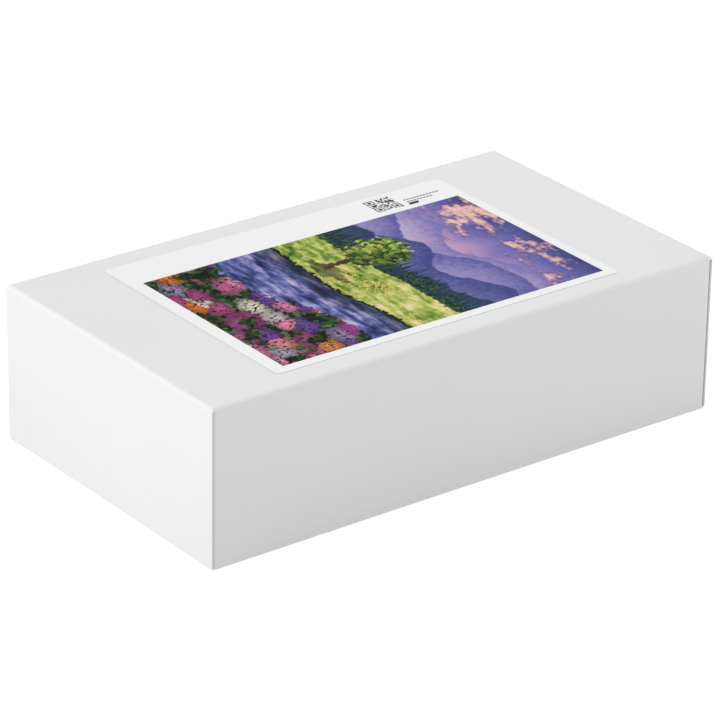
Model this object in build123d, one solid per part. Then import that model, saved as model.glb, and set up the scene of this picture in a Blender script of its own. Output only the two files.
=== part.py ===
from build123d import *
import math
import os
import random

# A boxed jigsaw puzzle: a white folding-board lid, as deep as the box, over an open
# tray of the same board. A printed label is stuck on the lid. The tray holds a sealed
# clear bag with the loose puzzle pieces in it. Millimetres, +X along the length,
# -Y to the front, +Z up, with the origin at the middle of the tray's underside.

# Lid and board
lid_length = 220.0  # outside, along X
lid_width = 125.0  # outside, along Y
board = 0.6  # thickness of the solid white board, of the lid and of the tray
fold_radius = 1.4  # outside of every fold
corner_radius = 1.2  # on the free corners of the end panels
flap_length = 30.0  # corner flap, glued inside the end panel

# How the lid fits over the tray
slip_gap = 0.5  # between lid and tray, on each side
seat_gap = 0.3  # between the tray's rim and the lid's top panel
skirt_gap = 0.5  # the lid's lower edge stays this far above the table
headspace = 12.9  # from the top of the bag to the lid's top panel

# Label on the lid
label_length = 150.0
label_width = 105.6
label_thickness = 0.1
label_corner = 2.0
label_shift_x = -1.2  # middle of the label from the middle of the lid
label_shift_y = -0.7
label_turn = -0.4  # degrees: it was stuck on a little askew

# Clear bag, welded shut at both ends, its fins folded up against the tray's ends
film = 0.2  # thickness of the bag's film
bag_side_gap = 1.5  # bag to tray, at the front and the back
bag_end_gap = 2.5  # bag to tray, at the ends, where the fins stand
bag_floor_gap = 0.3  # bag to the tray's floor
bag_corner = 10.0  # upright corners
bag_top_round = 5.0
bag_base_round = 1.5
fin_height = 12.0
fin_width = 96.0
fin_thickness = 0.5  # two films, welded and creased

# Puzzle
puzzle_rows = 18
puzzle_columns = 28
piece_length = 18.4  # from cut line to cut line, along the puzzle's length
piece_width = 18.0
piece_thickness = 2.0
knob_reach = 4.7  # a knob stands this far out of its edge
knob_head = 2.0  # radius of the knob's round head
knob_root = 0.9  # radius where the knob's neck runs out into the edge
knob_wander = 0.6  # a knob lies up to this far from the middle of its edge

# How the pieces lie in the bag
piece_gap = 0.5  # between the circles that two neighbours turn in
layer_gap = 0.3  # between a piece and the one below
heap_gap = 1.0  # from the pieces to the bag's side
heap_base_gap = 0.3  # from the lowest pieces to the bag's film
heap_top_gap = 0.4  # from the highest pieces to the bag's film
crown = 4.0  # the heap is this much higher in its middle

# Where the tray and the bag come to lie
tray_length = lid_length - 4 * board - 2 * slip_gap
tray_width = lid_width - 2 * board - 2 * slip_gap
bag_length = tray_length - 4 * board - 2 * bag_end_gap
bag_width = tray_width - 2 * board - 2 * bag_side_gap
bag_base = board + bag_floor_gap
heap_base = bag_base + film + heap_base_gap

# Cells that the pieces lie in, one piece to a cell
piece_reach = math.hypot(piece_length / 2 + knob_reach - knob_head, knob_wander) + knob_head
cell = 2 * piece_reach + piece_gap
heap_length = bag_length - 2 * film - 2 * heap_gap
heap_width = bag_width - 2 * film - 2 * heap_gap
cells_along = int(heap_length // cell)
cells_across = int(heap_width // cell)
layers = math.ceil(puzzle_rows * puzzle_columns / (cells_along * cells_across))
layer_pitch = piece_thickness + layer_gap

# Heights that follow from the heap
heap_height = layers * layer_pitch - layer_gap + crown
bag_height = heap_height + heap_base_gap + heap_top_gap + 2 * film
lid_top = bag_base + bag_height + headspace + board
lid_height = lid_top - skirt_gap
tray_height = lid_top - board - seat_gap

upright = (Align.CENTER, Align.CENTER, Align.MIN)


def crowned_block(length, width, height, radius):
    """A block standing on z = 0 whose four top edges are rounded."""
    block = Box(length, width, height, align=upright)
    return fillet(block.edges().group_by(Axis.Z)[-1], radius)


def corner_fold(length, width, height):
    """The board's upright fold at one corner, with the flap that is glued inside the end panel."""
    middle_x = length / 2 - board - fold_radius
    middle_y = width / 2 - fold_radius
    ring = Circle(fold_radius) - Circle(fold_radius - board)
    quarter = ring & Rectangle(fold_radius, fold_radius, align=(Align.MIN, Align.MIN))
    flap = Rectangle(board, flap_length, align=(Align.MAX, Align.MAX))
    plan = Pos(middle_x, middle_y) * quarter + Pos(length / 2 - board, middle_y) * flap
    return extrude(plan, height - fold_radius)


def folded_box(length, width, height):
    """One blank folded into a box that is closed on top and open at z = 0.

    The top turns down over a rounded fold into four panels. The end panels are as wide as the
    box. The side panels end a fold short of them and turn inwards there into the flaps.
    """
    outside = crowned_block(length, width, height, fold_radius)
    inside = crowned_block(length - 2 * board, width - 2 * board, height - board, fold_radius - board)
    below = Box(2 * length, 2 * width, height - fold_radius, align=upright)
    blank = outside - inside - below
    wall = height - fold_radius
    side = Box(length - 2 * board - 2 * fold_radius, board, wall, align=upright)
    end = Box(board, width, wall, align=upright)
    free_corners = end.edges().filter_by(Axis.X).group_by(Axis.Z)[0]
    end = fillet(free_corners, corner_radius)
    corner = corner_fold(length, width, height)
    for way in (-1, 1):
        blank += Pos(0, way * (width - board) / 2) * side
        blank += Pos(way * (length - board) / 2, 0) * end
    for corner_at in (corner, mirror(corner, Plane.YZ)):
        blank += corner_at
        blank += mirror(corner_at, Plane.XZ)
    return blank


def make_lid():
    """The lid stands a little above the table, because its top panel rests on the tray's rim."""
    return Pos(0, 0, skirt_gap) * folded_box(lid_length, lid_width, lid_height)


def make_tray():
    """The tray is the same fold turned upside down."""
    return Pos(0, 0, tray_height) * Rot(180, 0, 0) * folded_box(tray_length, tray_width, tray_height)


def make_label():
    """A sticker with rounded corners, flat on the lid."""
    sheet = extrude(RectangleRounded(label_length, label_width, label_corner), label_thickness)
    return Pos(label_shift_x, label_shift_y, lid_top) * Rot(0, 0, label_turn) * sheet


def bag_block(shrink):
    """The bag's outer shape, made smaller by shrink on every side."""
    corner, top, base = bag_corner - shrink, bag_top_round - shrink, bag_base_round - shrink
    plan = RectangleRounded(bag_length - 2 * shrink, bag_width - 2 * shrink, corner)
    block = extrude(plan, bag_height - 2 * shrink)
    block = fillet(block.edges().group_by(Axis.Z)[-1], top)
    block = fillet(block.edges().group_by(Axis.Z)[0], base)
    return Pos(0, 0, bag_base + shrink) * block


def make_bag():
    """A closed bag of film round the heap, and a folded-up fin of welded film at each end."""
    bag = bag_block(0) - bag_block(film)
    fin = Box(fin_thickness, fin_width, fin_height, align=upright)
    for way in (-1, 1):
        bag += Pos(way * (bag_length + fin_thickness) / 2, 0, bag_base + bag_height / 2) * fin
    return bag


def chance(*key):
    """A number from 0 to 1 that is always the same for the same key."""
    return random.Random(str(key)).random()


def knob_on(kind, row, column):
    """Which way the knob on a cut points, 1 or -1, and how far it lies from the cut's middle."""
    way = 1 if chance(kind, row, column) < 0.5 else -1
    return way, knob_wander * (2 * chance("wander", kind, row, column) - 1)


def edge_line(start, end, way, wander):
    """One edge of a piece, with a knob out of it (way 1), a hollow in it (-1) or neither (0).

    The knob is three arcs: the round head, and on each side a root that is tangent to both
    the head and the straight edge.
    """
    if way == 0:
        return [Line(start, end)]
    along = (end - start).normalized()
    outward = Vector(along.Y, -along.X) * way

    def point(distance, height):
        return start + along * distance + outward * height

    middle = (end - start).length / 2 + wander
    rise = knob_reach - knob_head - knob_root
    spread = math.sqrt((knob_root + knob_head) ** 2 - rise**2)
    meet = knob_root / (knob_root + knob_head)
    swing = (math.atan2(rise, spread) - math.pi / 2) / 2
    touch = spread * (1 - meet), knob_root + rise * meet
    bend = spread - knob_root * math.cos(swing), knob_root * (1 + math.sin(swing))
    left = [point(middle - spread, 0), point(middle - bend[0], bend[1]), point(middle - touch[0], touch[1])]
    right = [point(middle + touch[0], touch[1]), point(middle + bend[0], bend[1]), point(middle + spread, 0)]
    return [
        Line(start, left[0]),
        ThreePointArc(*left),
        ThreePointArc(left[-1], point(middle, knob_reach), right[0]),
        ThreePointArc(*right),
        Line(right[-1], end),
    ]


def make_piece(row, column):
    """One puzzle piece, flat and centred, with its printed side up. Border pieces have straight edges."""
    x, y = piece_length / 2, piece_width / 2
    corners = [Vector(-x, -y), Vector(x, -y), Vector(x, y), Vector(-x, y)]
    south_way, south_wander = knob_on("row cut", row, column)
    east_way, east_wander = knob_on("column cut", row, column + 1)
    north_way, north_wander = knob_on("row cut", row + 1, column)
    west_way, west_wander = knob_on("column cut", row, column)
    sides = [
        (south_way * (row > 0), south_wander),
        (east_way * (column < puzzle_columns - 1), east_wander),
        (-north_way * (row < puzzle_rows - 1), -north_wander),
        (-west_way * (column > 0), -west_wander),
    ]
    outline = []
    for number, (way, wander) in enumerate(sides):
        outline += edge_line(corners[number], corners[(number + 1) % 4], way, wander)
    return Pos(0, 0, -piece_thickness / 2) * extrude(make_face(outline), piece_thickness)


def heap_rise(x, y):
    """How much the full heap rises at x, y, and its slopes there: a half wave each way."""
    wave_x, wave_y = math.pi / heap_length, math.pi / heap_width
    rise = crown * math.cos(wave_x * x) * math.cos(wave_y * y)
    slope_x = -crown * wave_x * math.sin(wave_x * x) * math.cos(wave_y * y)
    slope_y = -crown * wave_y * math.cos(wave_x * x) * math.sin(wave_y * y)
    return rise, slope_x, slope_y


def place_in_heap(slot):
    """Where the piece in this slot lies. Each layer is pushed another way, and rises with the heap."""
    layer, number = divmod(slot, cells_along * cells_across)
    spare_x = heap_length - cells_along * cell
    spare_y = heap_width - cells_across * cell
    shift_x = spare_x * (layer % 2 - 0.5)
    shift_y = spare_y * (chance("layer", layer) - 0.5)
    x = (number % cells_along - (cells_along - 1) / 2) * cell + shift_x
    y = (number // cells_along - (cells_across - 1) / 2) * cell + shift_y
    share = layer / max(layers - 1, 1)
    rise, slope_x, slope_y = heap_rise(x, y)
    z = heap_base + piece_thickness / 2 + layer * layer_pitch + share * rise
    tilt_x, tilt_y = share * slope_x, share * slope_y
    lie = Plane(origin=(x, y, z), x_dir=(1, 0, tilt_x), z_dir=(-tilt_x, -tilt_y, 1))
    face_down = 180 if chance("side", slot) < 0.5 else 0
    return lie.location * Rot(face_down, 0, 0) * Rot(0, 0, 360 * chance("turn", slot))


def make_pieces(group):
    """One node of pieces, as many as a row of the puzzle has, picked from all over the puzzle."""
    count = puzzle_rows * puzzle_columns
    stride = 215  # shares no factor with the count, so that every piece is picked once
    picked = []
    for slot in range(group * puzzle_columns, (group + 1) * puzzle_columns):
        row, column = divmod(slot * stride % count, puzzle_columns)
        picked.append(place_in_heap(slot) * make_piece(row, column))
    return Compound(children=picked)


def main():
    os.makedirs("parts", exist_ok=True)
    print("tray", tray_length, tray_width, tray_height, "lid top", lid_top)
    print("cells", cells_along, cells_across, "layers", layers, "bag", bag_length, bag_width, bag_height)
    export_step(make_lid(), "parts/lid.step")
    export_step(make_tray(), "parts/tray.step")
    export_step(make_label(), "parts/label.step")
    export_step(make_bag(), "parts/clear_bag.step")
    for group in range(puzzle_rows):
        export_step(make_pieces(group), f"parts/puzzle_pieces_{group + 1:02d}.step")


main()
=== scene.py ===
# %% [markdown]
# # A boxed jigsaw puzzle
# A white board box holds a jigsaw puzzle. Its lid is as deep as the box and slides over an open
# tray. A printed label lies on the lid, and in the tray lies a clear bag with the loose pieces.
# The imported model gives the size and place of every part. Each part gets its looks here: shapes
# are worked out with numpy as functions of two parameters, and finishes are written as expressions.

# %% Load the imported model
import math
import random

import bmesh
import bpy
import numpy as np
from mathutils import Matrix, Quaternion, Vector


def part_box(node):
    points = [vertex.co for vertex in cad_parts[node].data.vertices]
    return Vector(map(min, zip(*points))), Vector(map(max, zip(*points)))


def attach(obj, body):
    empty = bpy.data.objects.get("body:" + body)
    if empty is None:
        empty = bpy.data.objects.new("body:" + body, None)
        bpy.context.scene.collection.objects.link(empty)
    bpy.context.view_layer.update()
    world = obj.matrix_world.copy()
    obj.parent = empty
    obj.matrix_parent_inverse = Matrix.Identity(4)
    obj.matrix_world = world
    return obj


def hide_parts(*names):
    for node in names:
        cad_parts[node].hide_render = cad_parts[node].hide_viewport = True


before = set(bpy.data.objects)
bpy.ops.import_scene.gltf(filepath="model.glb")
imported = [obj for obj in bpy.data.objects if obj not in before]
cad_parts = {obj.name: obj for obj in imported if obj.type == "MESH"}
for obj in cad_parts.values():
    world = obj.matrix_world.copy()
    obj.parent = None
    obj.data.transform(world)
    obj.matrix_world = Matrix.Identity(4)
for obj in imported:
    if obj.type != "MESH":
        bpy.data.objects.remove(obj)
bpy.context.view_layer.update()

MM = 0.001
lid_low, lid_high = (np.array(corner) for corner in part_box("lid"))
tray_low, tray_high = (np.array(corner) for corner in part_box("tray"))
label_low, label_high = (np.array(corner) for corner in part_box("label"))
bag_low, bag_high = (np.array(corner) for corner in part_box("clear_bag"))
print("lid", (lid_high - lid_low).round(4), "tray", (tray_high - tray_low).round(4))

# %% [markdown]
# ## From numpy arrays to a mesh
# Every surface below is a grid of points. A grid with R rows and C columns has (R - 1) x (C - 1)
# four-sided faces, and their corner numbers follow from the row and the column alone. So one
# function makes the faces of any grid, and another hands points and faces to Blender. Writing
# whole arrays is much faster than adding vertices one by one.

# %% Grids and pieces


def grid_faces(rows, columns, start=0, flip=False, closed=False):
    """Corner numbers of a grid's faces: face (i, j) has corners (i, j), (i+1, j), (i+1, j+1), (i, j+1).

    With closed, the last column joins the first again. With flip, the faces point the other way.
    """
    i, j = np.meshgrid(np.arange(rows - 1), np.arange(columns if closed else columns - 1), indexing="ij")
    k = (j + 1) % columns
    faces = np.stack([i * columns + j, (i + 1) * columns + j, (i + 1) * columns + k, i * columns + k], -1)
    faces = faces.reshape(-1, 4) + start
    return faces[:, ::-1] if flip else faces


def new_piece(name, points, faces, materials, face_materials=None):
    """A mesh object from an array of points (N, 3) and a list of faces, smooth all over."""
    mesh = bpy.data.meshes.new(name)
    mesh.from_pydata(points.reshape(-1, 3).tolist(), [], [list(map(int, face)) for face in faces])
    for material in materials:
        mesh.materials.append(material)
    if face_materials is not None:
        mesh.polygons.foreach_set("material_index", np.asarray(face_materials, np.int32))
    mesh.shade_smooth()
    piece = bpy.data.objects.new(name, mesh)
    bpy.context.scene.collection.objects.link(piece)
    return piece


def weld(piece, distance=0.001 * MM):
    """Joins the points that lie on each other, where two grids meet or a grid closes on itself."""
    shape = bmesh.new()
    shape.from_mesh(piece.data)
    bmesh.ops.remove_doubles(shape, verts=shape.verts, dist=distance)
    bmesh.ops.dissolve_degenerate(shape, edges=shape.edges, dist=distance)
    shape.to_mesh(piece.data)
    shape.free()


def settle(piece, sharp_angle):
    """Turns the modifiers' result into the piece's own mesh, and marks the edges that stay sharp."""
    seen = piece.evaluated_get(bpy.context.evaluated_depsgraph_get())
    mesh = bpy.data.meshes.new_from_object(seen)
    piece.modifiers.clear()
    piece.data = mesh
    mesh.set_sharp_from_angle(angle=math.radians(sharp_angle))


print("a grid of 3 x 4 points has", len(grid_faces(3, 4)), "faces")

# %% [markdown]
# ## Shader maths as plain expressions
# A material is a graph of nodes. Wired by hand, even "a + b * 2" takes many lines. The class
# below wraps one socket. Adding or multiplying two of them adds a Math node and gives back its
# output, so a formula reads as it does on paper. Everything else comes from one method, `node`.

# %% A socket that can be calculated with


class Wire:
    """One output of a node tree. Python's operators on it add Math nodes."""

    def __init__(self, paint, socket):
        self.paint = paint
        self.socket = socket

    def math(self, operation, *others):
        return self.paint.node("Math", {"operation": operation}, (self, *others))

    def beside(self, output):
        """Another output of the same node."""
        return Wire(self.paint, self.socket.node.outputs[output])

    def __add__(self, other):
        return self.math("ADD", other)

    __radd__ = __add__

    def __mul__(self, other):
        return self.math("MULTIPLY", other)

    __rmul__ = __mul__

    def __sub__(self, other):
        return self.math("SUBTRACT", other)

    def __rsub__(self, other):
        return self.paint.node("Math", {"operation": "SUBTRACT"}, (other, self))

    def __truediv__(self, other):
        return self.math("DIVIDE", other)

    def __pow__(self, other):
        return self.math("POWER", other)

    def __lt__(self, other):
        return self.math("LESS_THAN", other)

    def __gt__(self, other):
        return self.math("GREATER_THAN", other)

    def __abs__(self):
        return self.math("ABSOLUTE")


class Paint:
    """A material under construction. Its methods add nodes and give back wires."""

    def __init__(self, name):
        self.material = bpy.data.materials.new(name)
        self.material.use_nodes = True
        self.tree = self.material.node_tree
        self.tree.nodes.clear()

    def node(self, kind, settings=None, inputs=(), output=0):
        """Adds a node: its settings first, then a value or a wire for each input, by number or name."""
        made = self.tree.nodes.new("ShaderNode" + kind)
        for key, value in (settings or {}).items():
            if key == "stops":
                set_stops(made.color_ramp, value)
            else:
                setattr(made, key, value)
        pairs = inputs.items() if isinstance(inputs, dict) else enumerate(inputs)
        for key, value in pairs:
            self.plug(value, made.inputs[key])
        return Wire(self, made.outputs[output]) if made.outputs else None

    def plug(self, value, socket):
        if isinstance(value, Wire):
            self.tree.links.new(value.socket, socket)
        elif hasattr(socket.default_value, "__len__") and len(socket.default_value) == 4:
            socket.default_value = (*value[:3], 1.0)
        else:
            socket.default_value = value

    def place(self):
        """Object coordinates, in metres: the same at rest and in every pose."""
        return self.node("TexCoord", output="Object")

    def split(self, vector):
        """The three parts of a vector, as three wires."""
        first = self.node("SeparateXYZ", inputs=(vector,))
        return [first.beside(axis) for axis in range(3)]

    def join(self, x, y, z=0.0):
        return self.node("CombineXYZ", inputs=(x, y, z))

    def noise(self, vector, scale, detail=2.0, roughness=0.5):
        """Cloudy noise from 0 to 1."""
        values = {"Vector": vector, "Scale": scale, "Detail": detail, "Roughness": roughness}
        return self.node("TexNoise", inputs=values)

    def ramp(self, value, stops):
        """A colour from a list of (place, colour) stops."""
        return self.node("ValToRGB", {"stops": stops}, (value,))

    def step(self, low, high, value):
        """Rises smoothly from 0 where value is low to 1 where it is high."""
        values = {"Value": value, "From Min": low, "From Max": high}
        return self.node("MapRange", {"interpolation_type": "SMOOTHSTEP"}, values)

    def blend(self, mask, below, above):
        """The colour below where mask is 0, and the colour above where it is 1."""
        return self.node("Mix", {"data_type": "RGBA"}, {0: mask, 6: below, 7: above}, output=2)

    def shade(self, colour, factor):
        """The colour times a number."""
        return self.node("VectorMath", {"operation": "SCALE"}, {"Vector": colour, "Scale": factor})

    def finish(self, bump=None, **values):
        """Ends in a Principled shader. Names are its sockets, with _ for a space."""
        sockets = {name.replace("_", " "): value for name, value in values.items()}
        if bump is not None:
            height, depth = bump
            relief = {"Height": height, "Distance": depth, "Strength": 1.0}
            sockets["Normal"] = self.node("Bump", inputs=relief)
        self.node("OutputMaterial", inputs=(self.node("BsdfPrincipled", inputs=sockets),))
        return self.material


def set_stops(ramp, stops):
    """Gives a colour ramp its stops, a list of (place, colour)."""
    while len(ramp.elements) < len(stops):
        ramp.elements.new(1.0)
    for element, (place, colour) in zip(ramp.elements, stops):
        element.position = place
        element.color = (*colour, 1.0)


# %% [markdown]
# ## White folding board
# The lid and the tray are cut from board about half a millimetre thick. Outside it has a smooth
# white clay coat. Inside it is uncoated and a little warmer, and a cut edge shows the grey pulp.
# Three materials show that. The coat has only a faint cloudiness and a fibre texture far under
# a tenth of a millimetre deep, so that it stays smooth and still doesn't look like plastic.

# %% Three faces of the board


def coated_board():
    paint = Paint("coated_board")
    place = paint.place()
    cloud = paint.noise(place, 22.0, 3.0)
    fleck = paint.noise(place, 900.0, 2.0)
    fibre = paint.noise(place, 2600.0, 3.0, 0.6)
    colour = paint.blend(cloud, (0.815, 0.818, 0.822), (0.845, 0.846, 0.848))
    colour = paint.shade(colour, 0.99 + 0.02 * fleck)
    height = 0.6 * fibre + 1.0 * paint.noise(place, 160.0, 2.0)
    rough = 0.46 + 0.08 * cloud
    bump = (height, 0.012 * MM)
    return paint.finish(Base_Color=colour, Roughness=rough, bump=bump, Specular_IOR_Level=0.35)


def uncoated_board():
    paint = Paint("uncoated_board")
    place = paint.place()
    fibre = paint.noise(place, 700.0, 4.0, 0.7)
    x, y, z = paint.split(place)
    strands = paint.noise(paint.join(x * 300.0, y * 1500.0, z * 1500.0), 1.0, 3.0)
    colour = paint.blend(fibre, (0.70, 0.685, 0.655), (0.80, 0.79, 0.765))
    colour = paint.shade(colour, 0.94 + 0.1 * strands)
    return paint.finish(Base_Color=colour, Roughness=0.8 + 0.1 * fibre, bump=(fibre + strands, 0.03 * MM))


def cut_board():
    paint = Paint("cut_board")
    pulp = paint.noise(paint.place(), 1800.0, 3.0, 0.7)
    colour = paint.blend(pulp, (0.62, 0.62, 0.62), (0.76, 0.76, 0.76))
    return paint.finish(Base_Color=colour, Roughness=0.85 + 0.1 * pulp, bump=(pulp, 0.05 * MM))


board_finishes = [coated_board(), uncoated_board(), cut_board()]
print("board finishes", [material.name for material in board_finishes])

# %% [markdown]
# ## A box folded from one sheet
# A flat blank has a middle panel with four panels round it. Folding turns each of them down over
# a crease. The board can't bend sharply, so each crease is a quarter circle. The lid's top is
# then a height over the plan: flat in the middle, and dropping by a quarter circle in each fold.
# Where two folds meet, in a corner, the drops are joined as a root of their summed powers, which
# rounds the corner off softly.
#
# The end panels are as wide as the box, and their cut edges show. The long panels stop a fold
# short of them, turn inwards in an upright fold and go on as flaps glued behind the end panels.
# The sheet is made as one skin, and a Solidify modifier gives it the board's thickness inwards.
# Flat panels of real board are never quite flat, so each one is hollow by a few tenths of a
# millimetre at its free edge.

# %% The folded sheet
BOARD = 0.6 * MM
FOLD = 1.4 * MM  # outside radius of a fold
GLUE = 0.03 * MM  # between a flap and the end panel that it is glued to
FLAP = 30.0 * MM
CORNER_ROUND = 1.2 * MM  # on the end panels' free corners
CORNER_POWER = 2.4
FOLD_POWER = 3  # of the upright folds, which are squarer than a circle
TURN_STEPS = 7  # faces round one fold
GUARD = 0.35 * MM  # a narrow face beside each fold keeps the shading of the flat panel flat


def across(half, stops):
    """Places across a folded panel, and how far each lies below the top.

    Between the folds the board is flat. In a fold it follows a quarter circle: the place is the
    flat's edge + radius x sin(angle), and the drop is radius x (1 - cos(angle)).
    """
    angle = np.linspace(0, np.pi / 2, TURN_STEPS + 1)[1:]
    flat = half - FOLD
    turn, down = flat + FOLD * np.sin(angle), FOLD * (1 - np.cos(angle))
    steps = np.concatenate([np.linspace(-flat + GUARD, flat - GUARD, 25), [-flat, flat], stops])
    middle = np.unique(steps.round(7))
    return np.concatenate([-turn[::-1], middle, turn]), np.concatenate([down[::-1], 0 * middle, down])


def hang(line, low, inward, steps=12):
    """A panel that hangs from a line of points (N, 3) down to the heights low (N).

    Its height runs evenly from the line to low. Each point moves by inward (N, 3) times the share
    of the way down, to the power 1.5, so that the panel bows more and more towards its free edge.
    """
    share = np.concatenate([[0, GUARD / (line[0, 2] - low[0])], np.linspace(0, 1, steps)[1:]])[:, None]
    panel = line[None] + inward[None] * share[..., None] ** 1.5
    panel[..., 2] = line[None, :, 2] * (1 - share) + low * share
    return panel


def side_plan(line, half_length, half_width):
    """The long panel's top line, from flap to flap: flat, an upright fold, then the flap at right angles.

    The fold is a superellipse: its place is radius x sin(angle) ^ (2 / power), and its drop is
    radius x (1 - cos(angle) ^ (2 / power)).
    """
    angle = np.linspace(0, np.pi / 2, TURN_STEPS + 1)[1:]
    run, dip = (np.clip(part(angle), 0, 1) ** (2 / FOLD_POWER) for part in (np.sin, np.cos))
    start = half_length - BOARD - GLUE - FOLD
    way = np.sign(line[0, 1])
    fold_x, fold_y = start + FOLD * run, half_width - FOLD * (1 - dip)
    flap_y = np.linspace(fold_y[-1], fold_y[-1] - FLAP, 5)[1:]
    x = np.concatenate([fold_x, np.full(4, fold_x[-1])])
    y = np.concatenate([fold_y, flap_y]) * way
    right = np.stack([x, y, np.full_like(x, line[0, 2])], -1)
    return np.concatenate([right[::-1] * (-1, 1, 1), line, right])


def folded_box(length, width, height, bow):
    """The skin of one folded blank, closed on top and open at z = 0, with its panels' bows (end, side)."""
    half_x, half_y = length / 2, width / 2
    start = half_x - BOARD - GLUE - FOLD
    x, drop_x = across(half_x, [-start, start])
    y, drop_y = across(half_y, [])
    drop = (drop_x[:, None] ** CORNER_POWER + drop_y[None] ** CORNER_POWER) ** (1 / CORNER_POWER)
    top = np.stack(np.broadcast_arrays(x[:, None], y[None], height - drop), -1)
    points, faces, count = [top], [grid_faces(*top.shape[:2])], top.shape[0] * top.shape[1]

    def add(panel, flip):
        nonlocal count
        points.append(panel)
        faces.append(grid_faces(*panel.shape[:2], start=count, flip=flip))
        count += panel.shape[0] * panel.shape[1]

    past = np.maximum(np.abs(y) - (half_y - CORNER_ROUND), 0)
    free_edge = CORNER_ROUND - np.sqrt(np.maximum(CORNER_ROUND**2 - past**2, 0))
    for way in (-1, 1):
        inward = np.zeros((len(y), 3))
        inward[:, 0] = -way * bow[0] * np.cos(np.pi * y / width)
        add(hang(top[-1 if way > 0 else 0], free_edge, inward), flip=way < 0)
    kept = np.abs(x) <= start + 0.001 * MM
    for way in (-1, 1):
        line = side_plan(top[kept, -1 if way > 0 else 0], half_x, half_y)
        inward = np.zeros((len(line), 3))
        inward[:, 1] = -way * bow[1] * np.cos(np.pi * np.clip(line[:, 0] / (2 * start), -0.5, 0.5))
        add(hang(line, np.zeros(len(line)), inward), flip=way > 0)
    skin = np.concatenate([part.reshape(-1, 3) for part in points])
    return skin, np.concatenate(faces)


def board_piece(name, skin, faces, low, high):
    """Gives a skin the board's thickness, with coated, uncoated and cut faces.

    Rounding in the modifier can move a point out by microns, so the points are held to low and high.
    """
    piece = new_piece(name, skin, faces, board_finishes)
    weld(piece)
    solid = piece.modifiers.new("board", "SOLIDIFY")
    solid.thickness = BOARD
    solid.offset = -1
    solid.use_even_offset = True
    solid.material_offset = 1
    solid.material_offset_rim = 2
    settle(piece, 40)
    points = np.zeros(len(piece.data.vertices) * 3, np.float32)
    piece.data.vertices.foreach_get("co", points)
    piece.data.vertices.foreach_set("co", np.clip(points.reshape(-1, 3), low, high).ravel())
    print(name, len(piece.data.polygons), "faces")
    return piece


# %% The lid
lid_size = lid_high - lid_low
lid_skin, lid_faces = folded_box(*lid_size, bow=(0.3 * MM, 0.25 * MM))
lid_skin[:, 2] += lid_low[2]
lid_board = board_piece("lid_board", lid_skin, lid_faces, lid_low, lid_high)
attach(lid_board, "lid")
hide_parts("lid")

# %% The tray, the same fold turned half a turn about its length
tray_size = tray_high - tray_low
tray_skin, tray_faces = folded_box(*tray_size, bow=(0.15 * MM, 0.15 * MM))
tray_skin = tray_skin * (1, -1, -1) + (0, 0, tray_high[2])
tray_board = board_piece("tray_board", tray_skin, tray_faces, tray_low, tray_high)
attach(tray_board, "tray")
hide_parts("tray")

# %% [markdown]
# ## The printed picture
# The label shows what the puzzle will look like, and every piece carries its own bit of the same
# picture. It is a plain landscape made up for this box: an evening sky, ranges of hills, fir woods,
# a meadow with one round tree, a lake from side to side and a field of flowers. It is painted by
# maths, from back to front, as a painter would. Each thing in it is a mask over the picture's two
# coordinates, u to the right and v up, and a blend puts a colour where its mask is 1. Noise costs
# time for every ray, so the canvas makes a few kinds of brush stroke once, and everything in the
# picture shares them.

# %% The canvas and its brushes
PICTURE_SHAPE = 84.2 / 141.0  # about its width over its height
FLAT_NOISE = {"noise_dimensions": "2D"}
FLAT_CELLS = {"voronoi_dimensions": "2D"}


def ink(red, green, blue):
    """A printed colour, given as three numbers up to 255 as on a screen, in the linear light of shaders."""
    shares = np.array((red, green, blue)) / 255
    return tuple(np.where(shares > 0.04045, ((shares + 0.055) / 1.055) ** 2.4, shares / 12.92).tolist())


def inks(*colours):
    """Evenly spaced stops of a colour ramp."""
    return [(number / (len(colours) - 1), ink(*colour)) for number, colour in enumerate(colours)]


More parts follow.
